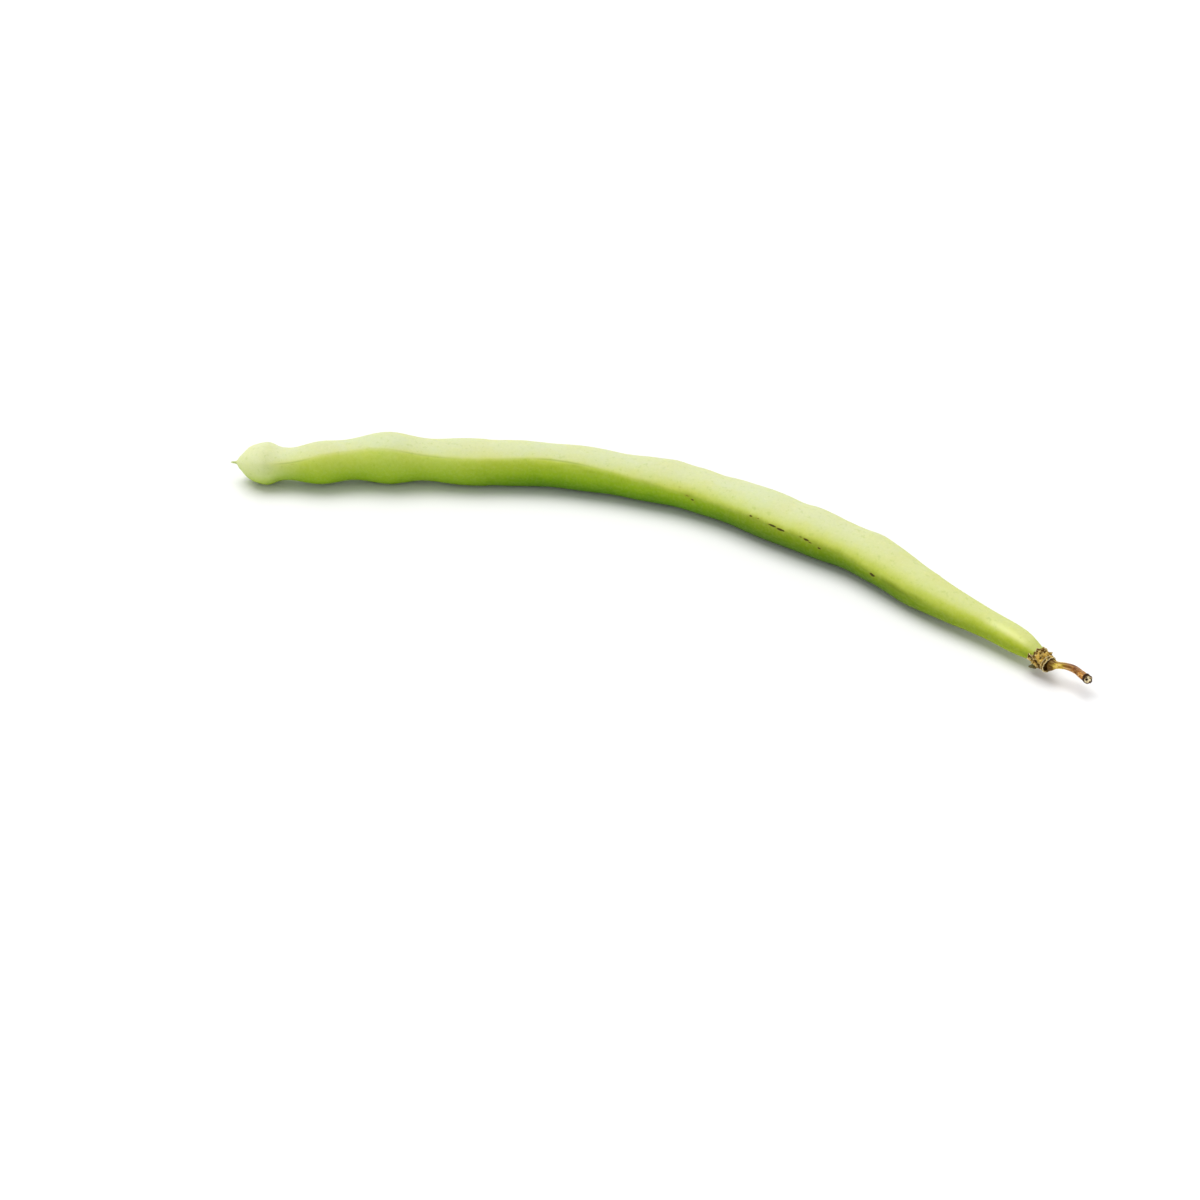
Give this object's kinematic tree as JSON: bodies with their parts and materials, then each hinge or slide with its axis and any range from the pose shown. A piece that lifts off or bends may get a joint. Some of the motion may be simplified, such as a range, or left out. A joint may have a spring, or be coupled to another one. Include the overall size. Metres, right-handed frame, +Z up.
{
  "type": "green bean",
  "caption": "Whole bowed green bean pod lying on its side, with a small pointed beak, dried calyx, bracteole and curved flower stalk.",
  "frame": {"origin": "centre of the object's outline on the surface it lies on", "axes": "+X towards the flower stalk, along the object's longest extent; +Y towards the outer side of the bow; +Z up from the surface it lies on"},
  "size_m": [0.1716, 0.0342, 0.0105],
  "materials": {
    "fresh_skin": "satin",
    "dried_calyx": "matte",
    "dried_stalk": "matte"
  },
  "bodies": {
    "root": {"pod": "fresh_skin", "calyx": "dried_calyx", "pedicel": "dried_stalk", "bracteole": "dried_calyx"}
  },
  "joints": []
}
